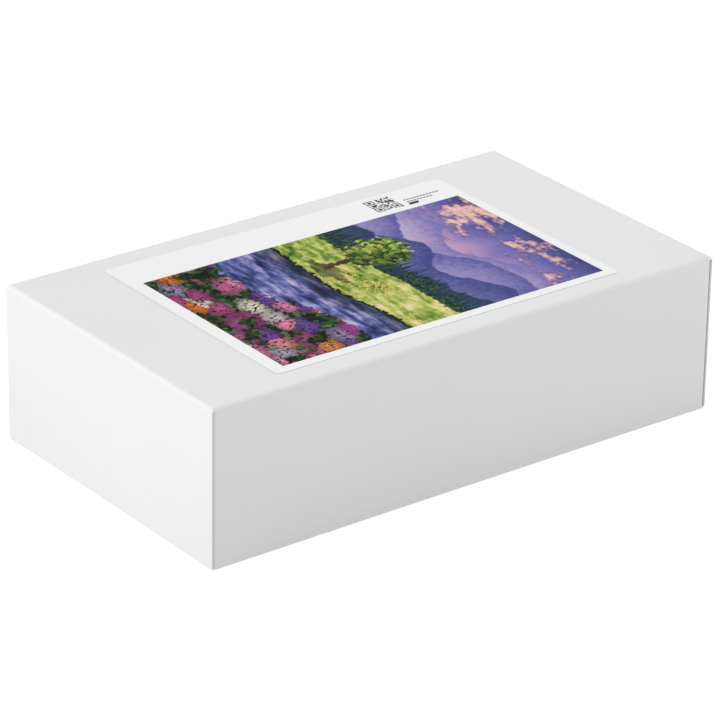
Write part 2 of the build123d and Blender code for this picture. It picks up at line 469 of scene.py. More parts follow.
class Canvas:
    """The picture so far, the brushes that all its parts share, and ways to add to it."""

    def __init__(self, paint, u, v):
        self.paint, self.u, self.v = paint, u, v
        flat = paint.join(u * PICTURE_SHAPE, v)
        waves, ragged = self.flat_noise(flat, 6.0, 2.0, 1), self.flat_noise(flat, 60.0, 3.0, 1)
        self.drift, self.sway = (part - 0.5 for part in paint.split(waves)[:2])
        self.fuzz, self.fray = (part - 0.5 for part in paint.split(ragged)[:2])
        self.clump = self.flat_noise(flat, 10.0, 4.0)
        self.long = self.grain(7.0, 40.0)
        self.broad = self.grain(3.0, 8.0)
        self.upright = self.grain(44.0, 11.0)
        bent = paint.join(u * PICTURE_SHAPE + 0.012 * self.fuzz, v + 0.012 * self.fray)
        self.leaf, self.petal = (self.brush(bent, scale) for scale in (76.0, 120.0))
        self.colour = None

    def flat_noise(self, place, scale, detail, output=0, **more):
        """Noise over the picture: a number, or with output 1 a colour whose parts are three of them."""
        values = {"Vector": place, "Scale": scale, "Detail": detail, **more}
        return self.paint.node("TexNoise", FLAT_NOISE, values, output)

    def lay(self, mask, colour):
        """Lays a colour over what is there, where the mask is 1."""
        self.colour = self.paint.blend(mask, self.colour, colour)

    def grain(self, across, up):
        """Streaky noise with so many streaks across and up the picture."""
        place = self.paint.join(self.u * across, self.v * up)
        return self.flat_noise(place, 1.0, 3.0, Roughness=0.6)

    def brush(self, place, scale):
        """Dabs, so many to the picture's height: the distance to a dab's middle, and its two chances."""
        distance = self.paint.node("TexVoronoi", FLAT_CELLS, {"Vector": place, "Scale": scale})
        return distance, *self.paint.split(distance.beside("Color"))[:2]

    def dabs(self, brush, cover, *colours):
        """Dabs of one brush: a mask of them, and if there are colours, one for each dab."""
        distance, hue, luck = brush
        size = cover * (0.6 + 0.8 * luck)
        mask = self.paint.step(size + 0.08, size - 0.08, distance)
        return mask, self.paint.ramp(hue, inks(*colours)) if colours else None

    def below(self, line, ragged, soft=0.004):
        """A mask that is 1 below the line, whose edge is ragged by so much."""
        return self.paint.step(-soft, soft, line + ragged * self.fuzz - self.v)

    def wave(self, count, phase):
        """A sine along the picture, with so many radians to its width."""
        return self.paint.node("Math", {"operation": "SINE"}, (self.u * count + phase,))

    def firs(self, count, base, tall, phase):
        """A mask of a row of firs: each stands on the base, and its height falls off from its middle."""
        place = {"W": self.u * count + phase, "Scale": 1.0}
        distance = self.paint.node("TexVoronoi", {"voronoi_dimensions": "1D"}, place)
        luck = self.paint.split(distance.beside("Color"))[0]
        top = base + tall * (0.45 + 0.55 * luck) * (1.0 - 2.0 * distance) + 0.03 * self.fuzz
        return self.paint.step(-0.003, 0.003, top - self.v)


print("middle grey ink", np.round(ink(128, 128, 128), 3))

# %% Where things stand in the picture, from 0 at its foot to 1 at its top
SKY_FOOT, MEADOW_TOP, SHORE, FIELD_TOP = 0.66, 0.535, 0.375, 0.235
# Each range's crest line is a sine: its middle height, its rise, its radians and its phase. Then
# come the range's two colours, at the crest and at the foot.
HILLS = (
    (0.815, 0.045, 9.0, 0.4, (128, 120, 182), (188, 168, 206)),
    (0.755, 0.050, 7.0, 2.3, (92, 92, 160), (150, 140, 192)),
    (0.690, 0.040, 11.0, 4.0, (62, 70, 134), (112, 114, 172)),
    (0.630, 0.035, 6.0, 1.1, (40, 56, 92), (70, 92, 124)),
)
FAR_FIRS, NEAR_FIRS = (46.0, 0.575, 0.075, 3.0), (21.0, 0.540, 0.120, 8.0)  # count, foot, height, phase
TREE_AT = 0.30  # from the picture's left edge
CROWN_MIDDLE, CROWN_HALF = 0.60, (0.085, 0.095)  # half its width and half its height
TRUNK_MIDDLE, TRUNK_HALF = 0.49, 0.06
SHADOW_AT = (0.04, 0.425)  # so far right of the trunk, and its height in the picture
print("ranges of hills", len(HILLS))

# %% Sky, hills and firs


def paint_sky(canvas):
    """Evening light along the horizon, violet above it, and clouds in three tones, each inside the last."""
    paint, v = canvas.paint, canvas.v
    canvas.colour = paint.ramp((v - SKY_FOOT) * 2.9 + 0.5 * canvas.drift, inks(
        (248, 204, 172), (214, 166, 192), (150, 132, 190), (98, 100, 170), (58, 62, 122),
    ))
    cloud = 0.55 * canvas.broad + 0.45 * canvas.long + 0.5 * canvas.drift
    canvas.lay(paint.step(0.46, 0.60, cloud) * 0.6, ink(72, 64, 118))
    canvas.lay(paint.step(0.50, 0.66, cloud + 0.2 * canvas.fuzz) * 0.8, ink(206, 156, 178))
    canvas.lay(paint.step(0.55, 0.72, cloud + 0.3 * canvas.fuzz) * 0.8, ink(250, 214, 186))


def paint_hills(canvas):
    """Four ranges, from pale and far to dark and near, each lighter towards its misty foot."""
    paint, v = canvas.paint, canvas.v
    for base, rise, count, phase, crest, foot in HILLS:
        line = base + rise * canvas.wave(count, phase) + 0.10 * canvas.drift
        depth = (line - v) * 9.0 + 0.9 * canvas.fuzz + 0.6 * (canvas.clump - 0.5)
        canvas.lay(canvas.below(line, 0.02), paint.ramp(depth, inks(crest, foot)))


def paint_firs(canvas):
    """A far row of small bluish firs and a near row of dark green ones."""
    paint = canvas.paint
    tuft, hue = canvas.dabs(canvas.petal, 0.7, (12, 34, 34), (26, 62, 48), (66, 108, 70))
    canvas.lay(canvas.firs(*FAR_FIRS), ink(34, 56, 74))
    count, foot, tall, phase = NEAR_FIRS
    near = canvas.firs(count, foot + 0.10 * canvas.drift, tall, phase)
    canvas.lay(near, ink(10, 26, 26))
    canvas.lay(near * tuft, hue)


# %% Meadow, tree, lake and flowers


def paint_meadow(canvas):
    """Grass in the evening sun, in long strokes, with a few yellow flowers in it."""
    paint = canvas.paint
    grass = canvas.below(MEADOW_TOP + 0.03 * canvas.drift, 0.02)
    tone = 1.5 * canvas.long - 0.15 + 0.9 * (canvas.broad - 0.5) + 0.5 * canvas.fuzz
    canvas.lay(grass, paint.ramp(tone, inks(
        (28, 52, 22), (62, 98, 36), (116, 146, 54), (166, 182, 84), (208, 206, 122), (236, 226, 168),
    )))
    dab, hue = canvas.dabs(canvas.petal, 0.26, (236, 190, 60), (246, 226, 150))
    canvas.lay(grass * dab * paint.step(0.52, 0.60, canvas.clump), hue)


def paint_tree(canvas):
    """One round tree: its shadow on the grass, a short trunk, and a crown lit from the left."""
    paint, u, v = canvas.paint, canvas.u - TREE_AT, canvas.v
    shadow = abs(v - SHADOW_AT[1]) * 30.0 + abs(u - SHADOW_AT[0]) * 5.0
    canvas.lay(paint.step(1.1, 0.8, shadow + canvas.fuzz) * 0.7, ink(22, 44, 30))
    upright = paint.step(0.008, 0.0, abs(v - TRUNK_MIDDLE) - TRUNK_HALF)
    trunk = paint.step(0.022, 0.016, abs(u + 0.04 * canvas.fuzz)) * upright
    canvas.lay(trunk, paint.ramp(canvas.upright, inks((24, 16, 18), (78, 54, 46), (140, 104, 80))))
    across, up = u * (PICTURE_SHAPE / CROWN_HALF[0]), (v - CROWN_MIDDLE) * (1 / CROWN_HALF[1])
    out = (across * across + up * up) ** 0.5 + 0.9 * canvas.fuzz + 0.8 * canvas.sway
    crown = paint.step(1.05, 0.95, out)
    canvas.lay(crown, ink(14, 32, 20))
    greens = (36, 70, 28), (84, 122, 40), (140, 166, 62), (204, 206, 110)
    dab, hue = canvas.dabs(canvas.leaf, 0.75, *greens)
    canvas.lay(crown * dab, paint.shade(hue, 0.72 - 0.3 * across + 0.3 * up))


def paint_lake(canvas):
    """A lake from side to side, with the dark shore mirrored in it and evening light on its ripples."""
    paint, v = canvas.paint, canvas.v
    shore = SHORE + 0.012 * canvas.wave(8.0, 1.0) + 0.03 * canvas.drift
    canvas.lay(canvas.below(shore + 0.014, 0.04), ink(20, 28, 18))
    water = canvas.below(shore, 0.01, 0.003)
    ripple = 1.4 * canvas.long - 0.16 + 0.5 * (canvas.broad - 0.5)
    canvas.lay(water, paint.ramp(ripple, inks(
        (12, 16, 34), (30, 38, 76), (64, 76, 134), (118, 124, 184), (186, 174, 212), (240, 206, 200),
    )))
    mirrored = paint.step(0.11, 0.02, shore - v + 0.05 * canvas.upright)
    canvas.lay(water * mirrored * 0.75, ink(14, 30, 36))


def paint_flowers(canvas):
    """A field of flowers: dark leaves, and over them clumps of blooms, each of one chance colour."""
    paint, u, v = canvas.paint, canvas.u, canvas.v
    field = canvas.below(FIELD_TOP + 0.035 * canvas.wave(5.0, 3.6) + 0.04 * canvas.drift, 0.05)
    greens = (10, 20, 14), (22, 48, 26), (46, 84, 42), (90, 124, 62)
    dab, leaf = canvas.dabs(canvas.leaf, 0.7, *greens)
    canvas.lay(field, ink(10, 16, 15))
    canvas.lay(field * dab, paint.shade(leaf, 0.2 + 1.2 * canvas.clump))
    bent = paint.join(u * PICTURE_SHAPE + 0.05 * canvas.fuzz, v * 1.5 + 0.05 * canvas.fray)
    middle, hue, _ = canvas.brush(bent, 11.0)
    bloom, _ = canvas.dabs(canvas.petal, 0.6)
    colour = paint.ramp(hue, inks(
        (206, 70, 40), (226, 132, 50), (222, 140, 180), (176, 62, 128), (110, 64, 160), (222, 216, 196),
    ))
    clump = paint.step(0.62, 0.52, middle) * paint.step(0.36, 0.44, canvas.clump)
    canvas.lay(field * clump * bloom, paint.shade(colour, 1.15 - 1.3 * middle))


LAYERS = paint_sky, paint_hills, paint_firs, paint_meadow, paint_lake, paint_tree, paint_flowers


def landscape(paint, u, v):
    """The whole picture's colour at u and v, each from 0 to 1."""
    canvas = Canvas(paint, u, v)
    for layer in LAYERS:
        layer(canvas)
    return canvas.colour


print("the picture has", len(LAYERS), "layers")


# %% [markdown]
# ## The label
# The label is one printed sticker with rounded corners, put on by hand a little askew. Its paper
# is a tenth of a millimetre thick, so its edge is a closed rim and not just a change of colour.
# The print lies in the label's own frame: x along its length and y across it, in millimetres from
# its middle. A UV map holds those two, scaled to run from 0 to 1 over the sheet, and so the print
# stays on the label whatever way it is turned. In the margin beside the picture come a small
# block of chance squares, two rows of plain grey dashes and a black bar.

# %% What is printed on the label
LABEL_SHEET = np.array((150.0, 105.6))  # millimetres
PICTURE_SIZE = np.array((140.4, 84.2))
PICTURE_MIDDLE = np.array((0.75, -6.5))
CODE_MIDDLE, CODE_SIZE, CODE_STEPS = (43.1, 44.5), (11.4, 10.4), 21
BAR_MIDDLE, BAR_SIZE, BAR_SLANT = (53.6, 39.5), (4.4, 1.8), 0.3
DOT_MIDDLE, DOT_SIZE = (48.5, 39.1), (0.7, 0.7)
DASH_HEIGHT, DASH_PITCH, DASH_SHARE = 1.0, 1.5, 0.78
DASH_ROWS = ((43.4, 51.6, 67.8), (41.4, 51.8, 63.4))  # y, then from x to x


def inside(paint, place, middle, size, soft=0.06):
    """1 inside an upright rectangle, with a narrow soft edge."""
    x, y = place
    across = paint.step(size[0] / 2 + soft, size[0] / 2 - soft, abs(x - middle[0]))
    return across * paint.step(size[1] / 2 + soft, size[1] / 2 - soft, abs(y - middle[1]))


def chance_squares(paint, place):
    """A block of squares, each black or white by chance, with an empty ring round three corner marks."""
    x, y = place
    column = ((x - CODE_MIDDLE[0]) / CODE_SIZE[0] + 0.5) * CODE_STEPS
    row = ((y - CODE_MIDDLE[1]) / CODE_SIZE[1] + 0.5) * CODE_STEPS
    square = paint.join(column.math("FLOOR"), row.math("FLOOR"))
    black = paint.node("TexWhiteNoise", {"noise_dimensions": "2D"}, {"Vector": square}) < 0.56
    for corner_x, corner_y in ((3.5, 3.5), (CODE_STEPS - 3.5, 3.5), (3.5, CODE_STEPS - 3.5)):
        away = abs(column - corner_x).math("MAXIMUM", abs(row - corner_y))
        mark = (away < 1.5) + (away > 2.5) * (away < 3.5)
        black = black * (away > 4.5) + mark
    return black.math("MINIMUM", 1.0) * inside(paint, place, CODE_MIDDLE, CODE_SIZE, 0.02)


def place_on_label(paint):
    """x and y on the label, in millimetres from its middle."""
    sheet = paint.split(paint.node("UVMap", {"uv_map": "label_sheet"}))
    return [(sheet[axis] - 0.5) * LABEL_SHEET[axis] for axis in (0, 1)]


def printed_paper():
    paint = Paint("printed_label_paper")
    x, y = place_on_label(paint)
    fleck = paint.noise(paint.place(), 1500.0, 3.0)
    paper = paint.blend(fleck, (0.92, 0.92, 0.92), (0.94, 0.94, 0.94))
    colour = paint.blend(chance_squares(paint, (x, y)), paper, ink(12, 12, 14))
    for row_y, start, end in DASH_ROWS:
        row = inside(paint, (x, y), ((start + end) / 2, row_y), (end - start, DASH_HEIGHT))
        dash = ((x - start) * (1 / DASH_PITCH)).math("FRACT") < DASH_SHARE
        colour = paint.blend(row * dash * 0.8, colour, ink(64, 64, 66))
    slanted = x - BAR_SLANT * (y - BAR_MIDDLE[1])
    colour = paint.blend(inside(paint, (slanted, y), BAR_MIDDLE, BAR_SIZE), colour, ink(8, 8, 8))
    colour = paint.blend(inside(paint, (x, y), DOT_MIDDLE, DOT_SIZE, 0.2), colour, ink(60, 60, 60))
    rough = 0.42 + 0.06 * fleck
    return paint.finish(Base_Color=colour, Roughness=rough, bump=(fleck, 0.004 * MM), Specular_IOR_Level=0.2)


def printed_picture():
    paint = Paint("printed_label_picture")
    x, y = place_on_label(paint)
    u = 0.5 - (y - PICTURE_MIDDLE[1]) * (1 / PICTURE_SIZE[1])
    v = 0.5 + (x - PICTURE_MIDDLE[0]) * (1 / PICTURE_SIZE[0])
    fleck = paint.noise(paint.place(), 1500.0, 1.0)
    rough = 0.5 + 0.06 * fleck
    return paint.finish(Base_Color=landscape(paint, u, v), Roughness=rough, Specular_IOR_Level=0.04)


# The label's cut edge is painted dark grey, far darker than its white paper. This is painted shadow, for the
# thin shade line along the label's edge.
def cut_paper():
    paint = Paint("label_edge_painted_shadow")
    fibre = paint.noise(paint.place(), 3000.0, 2.0)
    colour = paint.blend(fibre, (0.30, 0.30, 0.30), (0.38, 0.38, 0.38))
    return paint.finish(Base_Color=colour, Roughness=0.85 + 0.1 * fibre)


# %% The sheet itself
LABEL_CORNER = 2.0 * MM
LABEL_TURN = math.radians(-0.4)
PICTURE_CORNER = 0.05 * MM
LABEL_RIM = 0.03 * MM  # the cut edge is eased by this much at the top


def rounded_outline(length, width, corner, steps=9):
    """Points round a rectangle with rounded corners, counter-clockwise.

    Each corner is a quarter circle: its centre + corner x (cosine, sine) of the angle.
    """
    angle = np.linspace(0, np.pi / 2, steps) + np.arange(4)[:, None] * np.pi / 2
    centre = np.array([(1, 1), (-1, 1), (-1, -1), (1, -1)]) * (length / 2 - corner, width / 2 - corner)
    return (centre[:, None] + corner * np.stack([np.cos(angle), np.sin(angle)], -1)).reshape(-1, 2)


def add_map(piece, name, places):
    """A UV map from one (u, v) for each of the piece's points."""
    mesh = piece.data
    corners = np.zeros(len(mesh.loops), np.int32)
    mesh.loops.foreach_get("vertex_index", corners)
    layer = mesh.uv_layers.new(name=name)
    layer.uv.foreach_set("vector", places[corners].astype(np.float32).ravel())


def label_sheet():
    """Rings of the same outline, carried up the rim, then the picture's outline inside the last one."""
    rings = []
    bottom, top = label_low[2], label_high[2]
    for inset, height in ((0, bottom), (0, top - LABEL_RIM), (LABEL_RIM, top)):
        ring = rounded_outline(*(LABEL_SHEET * MM - 2 * inset), LABEL_CORNER - inset)
        rings.append(np.column_stack([ring, np.full(len(ring), height)]))
    picture = rounded_outline(*(PICTURE_SIZE * MM), PICTURE_CORNER) + PICTURE_MIDDLE * MM
    rings.append(np.column_stack([picture, np.full(len(picture), top)]))
    points = np.array(rings)
    count = points.shape[1]
    faces = [*grid_faces(4, count, flip=True, closed=True), range(count)[::-1], range(3 * count, 4 * count)]
    kinds = [1] * (2 * count) + [0] * count + [1, 2]
    finishes = [printed_paper(), cut_paper(), printed_picture()]
    sheet = new_piece("label_sheet", points, faces, finishes, kinds)
    add_map(sheet, "label_sheet", points.reshape(-1, 3)[:, :2] / (LABEL_SHEET * MM) + 0.5)
    cosine, sine = math.cos(LABEL_TURN), math.sin(LABEL_TURN)
    turned = points.reshape(-1, 3) @ np.array(((cosine, sine, 0), (-sine, cosine, 0), (0, 0, 1)))
    middle = (label_low + label_high) / 2
    turned[:, :2] += middle[:2]
    sheet.data.vertices.foreach_set("co", turned.astype(np.float32).ravel())
    sheet.data.set_sharp_from_angle(angle=math.radians(30))
    return sheet


label = label_sheet()
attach(label, "lid")
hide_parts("label")
print("label", len(label.data.polygons), "faces")

# %% [markdown]
# ## The puzzle pieces
# All 504 pieces come from one cut puzzle, so neighbours share a cut and each piece shows its own
# bit of the picture. A side of a piece is a straight line with a knob on it. The knob is a round
# head on a neck that runs out into the side. The same few points, with a way (out or in) and a
# small shift, make every side of every piece, so all the outlines are worked out as one array.
# They lie in the bag in layers, turned every way, about half of them face down, and the packed
# model's rules for that are repeated here so that each piece lies where its solid does.

# %% The sizes of the cut
ROWS, COLUMNS = 18, 28
PIECE = np.array((18.4, 18.0)) * MM
PIECE_THICK = 2.0 * MM
KNOB_REACH, KNOB_HEAD, KNOB_ROOT, KNOB_WANDER = 4.7 * MM, 2.0 * MM, 0.9 * MM, 0.6 * MM
PRESSED = 0.22 * MM  # the cutting blade presses the printed edge down and in by this much
HEAD_POINTS = 6
CORNERS = np.array([(-1, -1), (1, -1), (1, 1), (-1, 1)])
ALONG = np.array([(1, 0), (0, 1), (-1, 0), (0, -1)])
OUTWARD = np.array([(0, -1), (1, 0), (0, 1), (-1, 0)])


def chance(*key):
    """A number from 0 to 1 that is always the same for the same key."""
    return random.Random(str(key)).random()


def knobs(kind, rows, columns):
    """For each cut, which way its knob points, 1 or -1, and how far it lies from the cut's middle."""
    cuts = [(row, column) for row in range(rows) for column in range(columns)]
    way = [1 if chance(kind, *cut) < 0.5 else -1 for cut in cuts]
    shift = [KNOB_WANDER * (2 * chance("wander", kind, *cut) - 1) for cut in cuts]
    return np.array(way).reshape(rows, columns), np.array(shift).reshape(rows, columns)


def side_line(length, way, shift):
    """Points along sides of one length, for arrays of ways and shifts: distances and heights.

    The head is an arc round a centre that stands reach - head above the side. The neck leaves the
    side where a root arc of radius root, tangent to both, would touch it.
    """
    rise = KNOB_REACH - KNOB_HEAD - KNOB_ROOT
    spread = math.sqrt((KNOB_ROOT + KNOB_HEAD) ** 2 - rise**2)
    turn = math.pi / 2 + math.atan2(rise, spread)
    angle = np.linspace(-turn, turn, HEAD_POINTS)
    off = np.concatenate([[-spread], KNOB_HEAD * np.sin(angle), [spread]])
    height = np.concatenate([[0], KNOB_REACH - KNOB_HEAD + KNOB_HEAD * np.cos(angle), [0]])
    even = np.linspace(0, length, len(off) + 2)[1:-1]
    distance = np.where(way[..., None] == 0, even, length / 2 + shift[..., None] + off)
    return distance, height * way[..., None]


def piece_outlines():
    """The outlines of all pieces, (rows, columns, points, 2), counter-clockwise round each middle."""
    row_way, row_shift = knobs("row cut", ROWS + 1, COLUMNS)
    column_way, column_shift = knobs("column cut", ROWS, COLUMNS + 1)
    row_way[[0, -1]] = 0
    column_way[:, [0, -1]] = 0
    sides = (
        (row_way[:-1], row_shift[:-1]),
        (column_way[:, 1:], column_shift[:, 1:]),
        (-row_way[1:], -row_shift[1:]),
        (-column_way[:, :-1], -column_shift[:, :-1]),
    )
    parts = []
    for number, (way, shift) in enumerate(sides):
        distance, height = side_line(PIECE[number % 2], way, shift)
        distance = np.concatenate([np.zeros_like(distance[..., :1]), distance], -1)
        height = np.concatenate([np.zeros_like(height[..., :1]), height], -1)
        start = CORNERS[number] * PIECE / 2
        parts.append(start + distance[..., None] * ALONG[number] + height[..., None] * OUTWARD[number])
    return np.concatenate(parts, 2)


def drawn_in(outline, by):
    """The outline moved inwards by so much, along the normal at each point."""
    tangent = np.roll(outline, -1, -2) - np.roll(outline, 1, -2)
    tangent /= np.linalg.norm(tangent, axis=-1, keepdims=True)
    return outline - by * np.stack([tangent[..., 1], -tangent[..., 0]], -1)


outlines = piece_outlines()
print("outlines", outlines.shape)

# %% How the pieces lie in the bag
PIECE_GAP, LAYER_GAP, HEAP_GAP, HEAP_BASE_GAP, CROWN = 0.5 * MM, 0.3 * MM, 1.0 * MM, 0.3 * MM, 4.0 * MM
FILM = 0.2 * MM
FIN = 0.5 * MM  # the welded fin at each end of the bag
heap_base = bag_low[2] + FILM + HEAP_BASE_GAP
heap_length, heap_width = (bag_high - bag_low)[:2] - 2 * FILM - 2 * HEAP_GAP - (2 * FIN, 0)
reach = math.hypot(PIECE[0] / 2 + KNOB_REACH - KNOB_HEAD, KNOB_WANDER) + KNOB_HEAD
cell = 2 * reach + PIECE_GAP
cells_along, cells_across = int(heap_length // cell), int(heap_width // cell)
layers = math.ceil(ROWS * COLUMNS / (cells_along * cells_across))
print("cells", cells_along, cells_across, "layers", layers)


def heap_rise(x, y):
    """How much the full heap rises at x and y, a half wave each way, and its slopes there."""
    wave_x, wave_y = np.pi / heap_length, np.pi / heap_width
    rise = CROWN * np.cos(wave_x * x) * np.cos(wave_y * y)
    slope_x = -CROWN * wave_x * np.sin(wave_x * x) * np.cos(wave_y * y)
    slope_y = -CROWN * wave_y * np.cos(wave_x * x) * np.sin(wave_y * y)
    return rise, slope_x, slope_y


def heap_places():
    """For every slot, where its piece's middle lies and the three axes of the piece as columns."""
    slot = np.arange(ROWS * COLUMNS)
    layer, number = np.divmod(slot, cells_along * cells_across)
    sway = np.array([chance("layer", int(at)) - 0.5 for at in layer])
    x = (number % cells_along - (cells_along - 1) / 2) * cell
    x = x + (heap_length - cells_along * cell) * (layer % 2 - 0.5)
    y = (number // cells_along - (cells_across - 1) / 2) * cell + (heap_width - cells_across * cell) * sway
    share = layer / (layers - 1)
    rise, slope_x, slope_y = heap_rise(x, y)
    z = heap_base + PIECE_THICK / 2 + layer * (PIECE_THICK + LAYER_GAP) + share * rise
    axis_z = np.stack([-share * slope_x, -share * slope_y, np.ones_like(x)], -1)
    axis_x = np.stack([np.ones_like(x), np.zeros_like(x), share * slope_x], -1)
    axis_z /= np.linalg.norm(axis_z, axis=1, keepdims=True)
    axis_x /= np.linalg.norm(axis_x, axis=1, keepdims=True)
    frames = np.stack([axis_x, np.cross(axis_z, axis_x), axis_z], -1)
    down = np.array([chance("side", int(at)) < 0.5 for at in slot])
    flip = np.where(down, -1.0, 1.0)
    turn = np.array([2 * np.pi * chance("turn", int(at)) for at in slot])
    spin = np.zeros((len(slot), 3, 3))
    spin[:, 0, 0], spin[:, 0, 1] = np.cos(turn), -np.sin(turn)
    spin[:, 1, 0], spin[:, 1, 1] = flip * np.sin(turn), flip * np.cos(turn)
    spin[:, 2, 2] = flip
    return np.stack([x, y, z], -1), frames @ spin


# %% What the pieces are made of


def printed_board():
    paint = Paint("puzzle_print")
    place = paint.split(paint.node("UVMap", {"uv_map": "picture"}))
    linen = paint.noise(paint.place(), 1500.0, 2.0)
    colour = paint.shade(landscape(paint, place[0], place[1]), 0.97 + 0.06 * linen)
    return paint.finish(Base_Color=colour, Roughness=0.34 + 0.1 * linen, bump=(linen, 0.01 * MM))


def grey_board(name, dark, light):
    """Recycled grey board: fibres and a few specks. The sides show its pulp and the back is smoother."""
    paint = Paint(name)
    place = paint.place()
    pulp = paint.noise(place, 900.0, 4.0, 0.7)
    speck = paint.step(0.68, 0.74, paint.noise(place, 1400.0, 1.0))
    colour = paint.blend(pulp, dark, light)
    colour = paint.blend(speck * 0.5, colour, (0.16, 0.14, 0.12))
    return paint.finish(Base_Color=colour, Roughness=0.85 + 0.1 * pulp, bump=(pulp, 0.04 * MM))


piece_finishes = [
    printed_board(),
    grey_board("puzzle_board_edge", (0.30, 0.27, 0.23), (0.46, 0.42, 0.37)),
    grey_board("puzzle_board_back", (0.36, 0.40, 0.42), (0.50, 0.54, 0.56)),
]

# %% The pieces, one mesh for each layer
PICK_STEP = 215  # shares no factor with 504, so that every piece is picked once
SAME_PLACE = 0.3 * MM  # a node's pieces may span this much more or less than its solids


def puzzle_pieces(group, middles, turns):
    """The pieces of one node: rings of the outline at the underside, below the print and on top."""
    slots = np.arange(group * COLUMNS, (group + 1) * COLUMNS)
    row, column = np.divmod(slots * PICK_STEP % (ROWS * COLUMNS), COLUMNS)
    flat = outlines[row, column]
    count = flat.shape[1]
    half = PIECE_THICK / 2
    rings = [(flat, -half), (flat, half - PRESSED), (drawn_in(flat, PRESSED), half)]
    local = np.stack([np.dstack([ring, np.full(ring.shape[:2], height)]) for ring, height in rings], 1)
    placed = np.einsum("nij,nrpj->nrpi", turns[slots], local) + middles[slots][:, None, None]
    faces, kinds = [], []
    for start in np.arange(len(slots)) * 3 * count:
        faces += [*grid_faces(3, count, start, flip=True, closed=True)]
        faces += [range(start, start + count)[::-1], range(start + 2 * count, start + 3 * count)]
        kinds += [1] * count + [0] * count + [2, 0]
    piece = new_piece(f"puzzle_board_{group + 1:02d}", placed, faces, piece_finishes, kinds)
    from_edge = local[..., :2] / PIECE + 0.5
    u = 1 - (row[:, None, None] + from_edge[..., 1]) / ROWS
    v = (column[:, None, None] + from_edge[..., 0]) / COLUMNS
    add_map(piece, "picture", np.stack([u, v], -1).reshape(-1, 2))
    piece.data.set_sharp_from_angle(angle=math.radians(35))
    return piece


heap_middles, heap_turns = heap_places()
for group in range(ROWS):
    piece = puzzle_pieces(group, heap_middles, heap_turns)
    node = f"puzzle_pieces_{group + 1:02d}"
    low, high = (np.array(corner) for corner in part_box(node))
    points = np.array([vertex.co for vertex in piece.data.vertices])
    assert max(np.abs(points.min(0) - low).max(), np.abs(points.max(0) - high).max()) < SAME_PLACE
    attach(piece, "bagged_puzzle")
    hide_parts(node)
print("pieces", ROWS * COLUMNS, "with", len(piece.data.polygons) // COLUMNS, "faces each")

# %% [markdown]
# ## The clear bag
# Thin clear film holds the pieces. It lies tight on the heap's top, hangs round its sides and is
# welded shut at both ends, where the welds stand up as narrow ribbed fins. Film can't stretch, so
# wherever it goes round a corner it gathers into sharp creases. The bag is one closed surface. One
# parameter runs round it, and the other from the middle of its underside, up the wall, to the
# middle of its top. Creases are ridges of plane waves: the sharp crests of 1 - |sine|, in a few
# directions, each only here and there.

# %% The film's shape
BAG_CORNER, BASE_ROUND, TOP_ROUND = 10.0 * MM, 1.5 * MM, 2.5 * MM
FILM_GAP = 0.4 * MM  # from the heap's top to the film
CREASES = {"base": 0.2 * MM, "wall": 0.5 * MM, "top": 0.2 * MM}
TOP_PUCKER = 0.9 * MM  # deeper creases along the top's edge
AROUND, FLAT_STEPS, WALL_STEPS, BEND_STEPS = 360, 34, 24, 6


def along_outline(outline, count):
    """So many points, evenly spaced along a closed outline."""
    closed = np.vstack([outline, outline[:1]])
    length = np.concatenate([[0], np.cumsum(np.linalg.norm(np.diff(closed, axis=0), axis=1))])
    at = np.linspace(0, length[-1], count, endpoint=False)
    return np.column_stack([np.interp(at, length, closed[:, axis]) for axis in (0, 1)])


def crease_height(points):
    """From 0 to 1: the crests (1 - |sine|) to the fifth power of plane waves, each in its own patches."""
    chances = np.random.default_rng(11)
    total = np.zeros(points.shape[:-1])
    for _ in range(14):
        way, slow = chances.normal(size=(2, 3))
        wave = 2 * np.pi / chances.uniform(0.03, 0.09)
        phase = points @ (way / np.linalg.norm(way)) * wave + chances.uniform(0, 6)
        patch = np.sin(points @ (slow / np.linalg.norm(slow)) * (2 * np.pi / 0.11) + chances.uniform(0, 6))
        crest = (1 - np.abs(np.sin(phase + 0.8 * patch))) ** 5
        total += crest * np.clip(patch, 0, 1) * chances.uniform(0.5, 1)
    return np.clip(total, 0, 1)


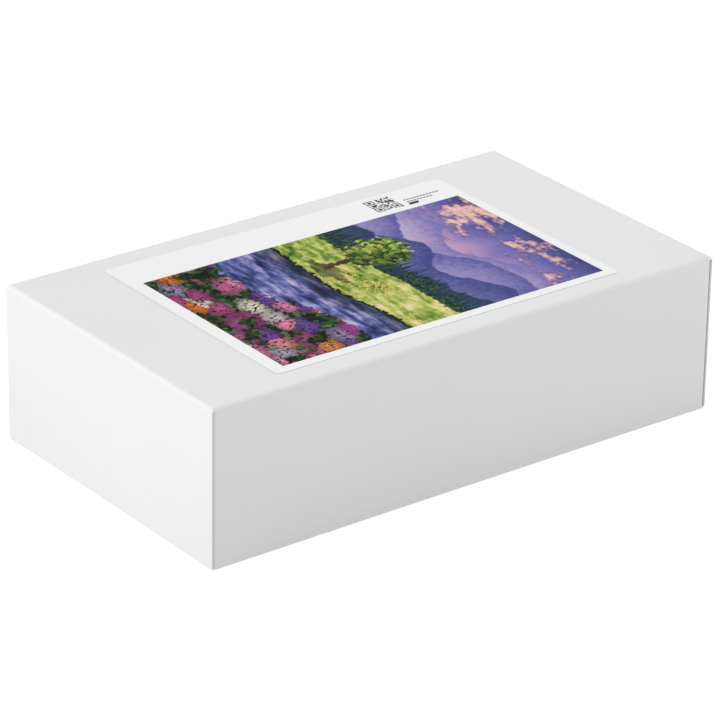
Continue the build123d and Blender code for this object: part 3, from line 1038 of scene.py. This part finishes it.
def film_surface():
    """The bag as an array of (profile steps, steps round, 3), with its creases.

    The profile goes out along the underside, round the base edge, up the wall, round the top edge
    and in over the crowned heap. Each row is the plan's outline, drawn in and then scaled.
    """
    half = (bag_high - bag_low)[:2] / 2 - (FIN, 0)
    outline = along_outline(rounded_outline(*(2 * half), BAG_CORNER, 20), AROUND)
    core = np.clip(outline, BAG_CORNER - half, half - BAG_CORNER)
    outward = (outline - core) / BAG_CORNER
    share, bend = np.linspace(0, 1, FLAT_STEPS), np.linspace(0, np.pi / 2, BEND_STEPS + 1)[1:]
    base, top = bag_low[2], heap_base + layers * (PIECE_THICK + LAYER_GAP) - LAYER_GAP + FILM_GAP
    wall = np.linspace(base + BASE_ROUND, top - TOP_ROUND, WALL_STEPS + 2)[1:]
    flat, full = np.ones(FLAT_STEPS), np.ones(BEND_STEPS)
    scale = np.concatenate([share, full, 0 * wall + 1, full, share[::-1][1:]])
    inset = np.concatenate([
        flat * BASE_ROUND, BASE_ROUND * (1 - np.sin(bend)), 0 * wall, TOP_ROUND * (1 - np.cos(bend)),
        flat[1:] * TOP_ROUND,
    ])
    height = np.concatenate([
        flat * base, base + BASE_ROUND * (1 - np.cos(bend)), wall, top - TOP_ROUND * (1 - np.sin(bend)),
        flat[1:] * top,
    ])
    plan = (outline - inset[:, None, None] * outward) * scale[:, None, None]
    rise = np.clip(heap_rise(plan[..., 0], plan[..., 1])[0], 0, None)
    on_top = np.clip((height - top + TOP_ROUND) / TOP_ROUND, 0, 1)[:, None]
    points = np.dstack([plan, height[:, None] + rise * on_top])
    up_profile = np.gradient(points, axis=0)
    around = np.roll(points, -1, 1) - np.roll(points, 1, 1)
    normal = np.cross(around, up_profile)
    normal[0], normal[-1] = (0, 0, -1), (0, 0, 1)
    normal /= np.linalg.norm(normal, axis=-1, keepdims=True)
    walls = np.clip((height - base) / BASE_ROUND, 0, 1)[:, None]
    depth = CREASES["base"] + walls * (CREASES["wall"] - CREASES["base"])
    pucker = TOP_PUCKER * (1 - rise / CROWN) * scale[:, None] ** 4
    depth = depth * (1 - on_top) + on_top * (CREASES["top"] + pucker)
    crest = crease_height(points) * np.clip(scale[:, None] * 20, 0, 1)
    return points + normal * (depth * crest - depth * (1 - on_top))[..., None]


WELD_HEIGHT, WELD_HALF_WIDTH = 12.0 * MM, 48.0 * MM
SAW_DEPTH, SAW_PITCH = 0.8 * MM, 2.0 * MM
ROOT_DEPTH, ROOT_HEIGHT = 0.16 * MM, 0.8 * MM
RIB_DEPTH, RIB_PITCH, RIB_FOOT = 0.09 * MM, 1.2 * MM, 0.08  # the ribs fade in from this share of the height
WAVE_DEPTH, WAVE_LENGTH = 0.05 * MM, 7.0 * MM
WELD_CLEAR = 0.08 * MM


def weld_fin(way):
    """One welded end, folded up against the bag: ribs across it, and a saw-tooth cut along its top.

    x = wall + root x (1 - e ^ -height) + rib x sine of the height + wave x sine of y. The top edge
    is as high as the weld less the saw: its depth x |share of its pitch - 1/2| x 2.
    """
    y = np.linspace(-WELD_HALF_WIDTH, WELD_HALF_WIDTH, 193)
    saw = SAW_DEPTH * np.abs((y / SAW_PITCH) % 1 - 0.5) * 2
    share = np.linspace(0, 1, 61)[:, None]
    z = share * (WELD_HEIGHT - saw)
    root = ROOT_DEPTH * (1 - np.exp(-z / ROOT_HEIGHT))
    ribs = RIB_DEPTH * np.sin(2 * np.pi * z / RIB_PITCH) * np.clip((share - RIB_FOOT) * 12, 0, 1)
    wave = WAVE_DEPTH * np.sin(y / WAVE_LENGTH + way) * share
    wall = bag_high[0] - FIN + WELD_CLEAR
    middle = (bag_low[2] + bag_high[2]) / 2
    x = way * (wall + root + ribs + wave)
    points = np.stack(np.broadcast_arrays(x, y[None], middle + z), -1)
    name = "bag_weld_right" if way > 0 else "bag_weld_left"
    return new_piece(name, points, grid_faces(*points.shape[:2], flip=way > 0), [weld_finish])


# %% Clear film


def film_finish(name, clear, painted_sheen):
    """Clear film: almost nothing face on, and glossy. It turns whiter at a slant, as painted reflection, and
    along its creases, as painted highlights.

    The finest creases, too fine for the mesh, are the borders between scattered cells, in patches.
    """
    paint = Paint(name)
    place = paint.place()
    crinkle = paint.noise(place, 70.0, 3.0, 0.55)
    patch = paint.step(0.48, 0.68, paint.noise(place, 21.0, 1.0))
    facet = paint.node("TexVoronoi", {"feature": "DISTANCE_TO_EDGE"}, {"Vector": place, "Scale": 75.0})
    crest = paint.step(0.07, 0.0, facet) * patch
    slant = paint.node("LayerWeight", inputs={"Blend": 0.25}, output=1)
    # Painted light: the white film grows more opaque at a slant, as painted reflection, and along the fine
    # creases, as painted highlights.
    alpha = clear + painted_sheen * slant + 0.10 * crest
    colour = paint.blend(crinkle, (0.86, 0.89, 0.92), (0.96, 0.97, 0.98))
    return paint.finish(
        Base_Color=colour, Roughness=0.10 + 0.12 * crinkle, Alpha=alpha, IOR=1.5,
        bump=(crinkle + 0.5 * crest, 0.5 * MM),
    )


bag_finish = film_finish("clear_film", 0.02, 0.20)
weld_finish = film_finish("welded_film", 0.30, 0.30)

# %% The bag and its two welds
THIN_FILM, THIN_WELD = 0.06 * MM, 0.1 * MM
film_points = film_surface()
film_faces = grid_faces(*film_points.shape[:2], flip=True, closed=True)
bag = new_piece("film_bag", film_points, film_faces, [bag_finish])
weld(bag)
for piece, thickness in ((bag, THIN_FILM), (weld_fin(-1), THIN_WELD), (weld_fin(1), THIN_WELD)):
    wall = piece.modifiers.new("film", "SOLIDIFY")
    wall.thickness = thickness
    wall.offset = -1 if piece is bag else 0
    settle(piece, 60)
    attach(piece, "bagged_puzzle")
    print(piece.name, len(piece.data.polygons), "faces")
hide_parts("clear_bag")

# %% [markdown]
# ## Camera, lights and floor
# The camera stands far away with a long lens, so that the box's edges nearly stay parallel. The
# floor is white and glows: fully where the camera sees it, and less where it lights the box, as
# a white sweep lit from behind would. A large soft light stands high at the left. Two weak ones
# soften the darker sides: one low at the right front, and a small one close behind the box.

# %% Camera
AZIMUTH, ELEVATION, ROLL = math.radians(-37.55), math.radians(24.90), math.radians(0.931)
AIM = Vector((-0.00059, 0.00024, 0.02547))
DISTANCE, FOCAL_LENGTH = 1.5082, 210.3  # metres from the aim, and the lens in millimetres
back = Vector((
    math.sin(AZIMUTH) * math.cos(ELEVATION),
    -math.cos(AZIMUTH) * math.cos(ELEVATION),
    math.sin(ELEVATION),
))
lens = bpy.data.cameras.new("camera")
lens.lens = FOCAL_LENGTH
lens.clip_start, lens.clip_end = 0.05, 20
camera = bpy.data.objects.new("camera", lens)
camera.location = AIM + back * DISTANCE
camera.rotation_mode = "QUATERNION"
camera.rotation_quaternion = back.to_track_quat("Z", "Y") @ Quaternion((0, 0, 1), ROLL)
bpy.context.scene.collection.objects.link(camera)
bpy.context.scene.camera = camera
bpy.context.scene.view_settings.view_transform = "Standard"
print("camera at", [round(value, 3) for value in camera.location])

# %% Floor and lights
FLOOR_HALF = 6.0
GLOW_RISE = 0.14  # the floor's glow rises from the box's sides outwards over this distance
WORLD_LIGHT = 0.5


def floor_finish():
    """A floor that the camera sees as white. It lights the box less, and least close to it."""
    paint = Paint("studio_floor")
    grain = paint.noise(paint.place(), 40.0, 2.0)
    seen = paint.node("LightPath")
    colour = paint.shade(paint.blend(seen, (0.60, 0.60, 0.60), (0.12, 0.12, 0.12)), 0.99 + 0.02 * grain)
    x, y, _ = paint.split(paint.place())
    away = (abs(x) - lid_high[0]).math("MAXIMUM", abs(y) - lid_high[1])
    near = paint.blend(paint.step(0.0, GLOW_RISE, away), (0.22, 0.22, 0.22), (0.365, 0.365, 0.365))
    glow = paint.blend(seen, near, (0.97, 0.97, 0.97))
    light = {"Emission_Color": glow, "Emission_Strength": 1.0}
    return paint.finish(Base_Color=colour, Roughness=0.9, Specular_IOR_Level=0.0, **light)


def soft_light(name, place, size, power):
    """A square area light that looks at the box's middle."""
    data = bpy.data.lights.new(name, "AREA")
    data.energy = power
    data.size = size
    light = bpy.data.objects.new(name, data)
    light.location = place
    light.visible_camera = False
    light.rotation_mode = "QUATERNION"
    light.rotation_quaternion = (Vector(place) - AIM).to_track_quat("Z", "Y")
    bpy.context.scene.collection.objects.link(light)


floor_line = np.linspace(-FLOOR_HALF, FLOOR_HALF, 5)
floor_points = np.stack(np.broadcast_arrays(floor_line[:, None], floor_line[None], 0.0), -1)
floor = new_piece("floor", floor_points, grid_faces(5, 5), [floor_finish()])
soft_light("left_softbox", (-1.34, 0.13, 1.22), 0.9, 17.2)
soft_light("back_fill", (0.34, 0.30, 0.35), 0.3, 0.34)
soft_light("right_fill", (0.75, -0.55, 0.25), 0.5, 1.8)
world = bpy.data.worlds.new("studio")
world.use_nodes = True
world.node_tree.nodes["Background"].inputs["Strength"].default_value = WORLD_LIGHT
world.node_tree.nodes["Background"].inputs["Color"].default_value = (1, 1, 1, 1)
bpy.context.scene.world = world
